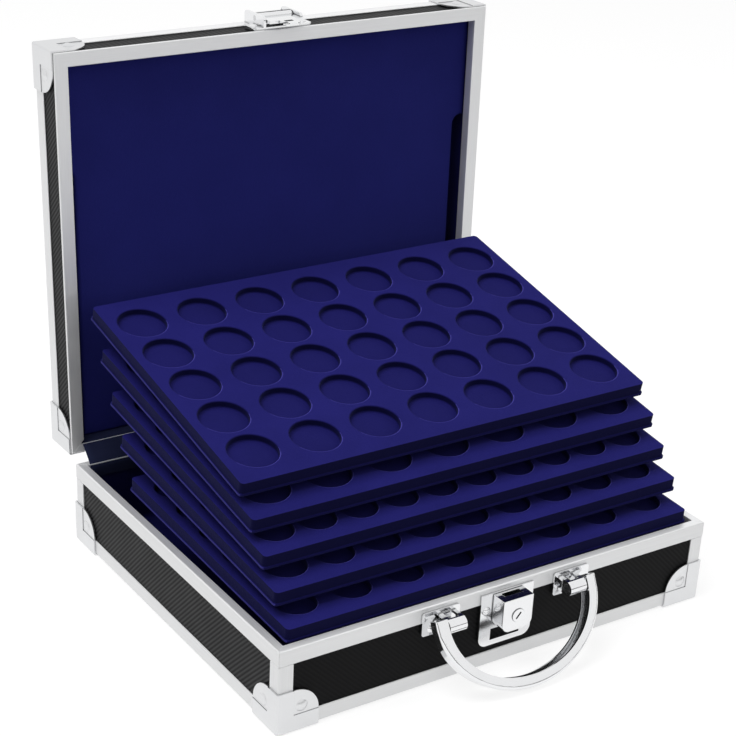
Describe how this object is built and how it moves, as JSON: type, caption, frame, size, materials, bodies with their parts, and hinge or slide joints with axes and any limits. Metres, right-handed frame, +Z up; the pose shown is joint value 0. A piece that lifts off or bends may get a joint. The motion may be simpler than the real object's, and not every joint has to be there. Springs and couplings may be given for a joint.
{
  "type": "coin case",
  "caption": "Hinged carrying case with an aluminium frame, black boards, stacked lift-out coin trays, a key lock with hasp and a bail handle.",
  "frame": {"origin": "on the standing surface, at the middle of the ground covered by the open case", "axes": "+X to the right along the hinge, +Y to the back, +Z up"},
  "size_m": [0.2636, 0.2775, 0.2714],
  "materials": {
    "laminate": "ribbed black laminate",
    "aluminium": "satin",
    "chrome": "polished",
    "steel": "plated",
    "brass": "plain",
    "velour": "napped velour",
    "flocked_tray": "blue flock"
  },
  "bodies": {
    "base": {"base_bottom_board": "laminate", "base_panel_front": "laminate", "base_panel_right": "laminate", "base_panel_back": "laminate", "base_panel_left": "laminate", "base_rim_front": "aluminium", "base_rim_right": "aluminium", "base_rim_back": "aluminium", "base_rim_left": "aluminium", "base_edge_front": "aluminium", "base_edge_right": "aluminium", "base_edge_back": "aluminium", "base_edge_left": "aluminium", "base_corner_posts": "aluminium", "base_corner_caps": "chrome", "base_cap_rivets": "chrome", "base_lining": "velour", "hinge_leaf_base": "steel", "hinge_pin": "steel", "lock_plate": "chrome", "lock_box": "chrome", "lock_rivets": "chrome", "handle_bracket_left": "chrome", "handle_bracket_right": "chrome", "handle_pins": "steel"},
    "lid": {"lid_top_board": "laminate", "lid_panel_front": "laminate", "lid_panel_right": "laminate", "lid_panel_back": "laminate", "lid_panel_left": "laminate", "lid_rim_front": "aluminium", "lid_rim_right": "aluminium", "lid_rim_back": "aluminium", "lid_rim_left": "aluminium", "lid_edge_front": "aluminium", "lid_edge_right": "aluminium", "lid_edge_back": "aluminium", "lid_edge_left": "aluminium", "lid_corner_posts": "aluminium", "lid_corner_caps": "chrome", "lid_cap_rivets": "chrome", "lid_lining": "velour", "lid_pad": "velour", "hinge_leaf_lid": "steel", "hasp_bracket": "chrome", "hasp_pin": "steel", "hasp_rivets": "chrome"},
    "hasp": {"hasp_tongue": "chrome"},
    "handle": {"handle_bail": "chrome"},
    "key": {"lock_key_barrel": "chrome"},
    "bolt": {"lock_bolt": "brass"},
    "tray_1": {"tray_1": "flocked_tray"},
    "tray_2": {"tray_2": "flocked_tray"},
    "tray_3": {"tray_3": "flocked_tray"},
    "tray_4": {"tray_4": "flocked_tray"},
    "tray_5": {"tray_5": "flocked_tray"}
  },
  "joints": [
    {"name": "lid_hinge", "type": "hinge", "parent": "base", "child": "lid", "pos_m": [0, 0.10994, 0.0465], "axis": [1, 0, 0], "range_deg": [0, 91]},
    {"name": "tray_1_set_down", "type": "hinge", "parent": "base", "child": "tray_1", "pos_m": [0, -0.41447, 0.29382], "axis": [1, 0, 0], "range_deg": [-11.21, 0]},
    {"name": "tray_2_set_down", "type": "hinge", "parent": "base", "child": "tray_2", "pos_m": [0, -0.46221, 0.26913], "axis": [1, 0, 0], "range_deg": [-8.96, 0]},
    {"name": "tray_3_set_down", "type": "hinge", "parent": "base", "child": "tray_3", "pos_m": [0, -0.5381, 0.23464], "axis": [1, 0, 0], "range_deg": [-6.71, 0]},
    {"name": "tray_4_set_down", "type": "hinge", "parent": "base", "child": "tray_4", "pos_m": [0, -0.68493, 0.1756], "axis": [1, 0, 0], "range_deg": [-4.46, 0]},
    {"name": "tray_5_set_down", "type": "hinge", "parent": "base", "child": "tray_5", "pos_m": [0, -1.12044, 0.01693], "axis": [1, 0, 0], "range_deg": [-2.21, 0]},
    {"name": "handle_swing", "type": "hinge", "parent": "base", "child": "handle", "pos_m": [0, -0.11646, 0.0376], "axis": [1, 0, 0], "range_deg": [-74, 20]},
    {"name": "hasp_swing", "type": "hinge", "parent": "lid", "child": "hasp", "pos_m": [0, 0.12532, 0.26887], "axis": [1, 0, 0], "range_deg": [-95, 0]},
    {"name": "key_turn", "type": "hinge", "parent": "base", "child": "key", "pos_m": [0, -0.10846, 0.0332], "axis": [0, -1, 0], "range_deg": [0, 90]},
    {"name": "bolt_slide", "type": "slide", "parent": "base", "child": "bolt", "axis": [1, 0, 0], "range_m": [0, 0.00201]}
  ],
  "couplings": [
    {"joint": "tray_1_set_down", "follows": "lid_hinge", "ratio": -0.12308},
    {"joint": "tray_2_set_down", "follows": "lid_hinge", "ratio": -0.098352},
    {"joint": "tray_3_set_down", "follows": "lid_hinge", "ratio": -0.073626},
    {"joint": "tray_4_set_down", "follows": "lid_hinge", "ratio": -0.048901},
    {"joint": "tray_5_set_down", "follows": "lid_hinge", "ratio": -0.024176},
    {"joint": "bolt_slide", "follows": "key_turn", "m_per_rad": 0.0012732}
  ]
}
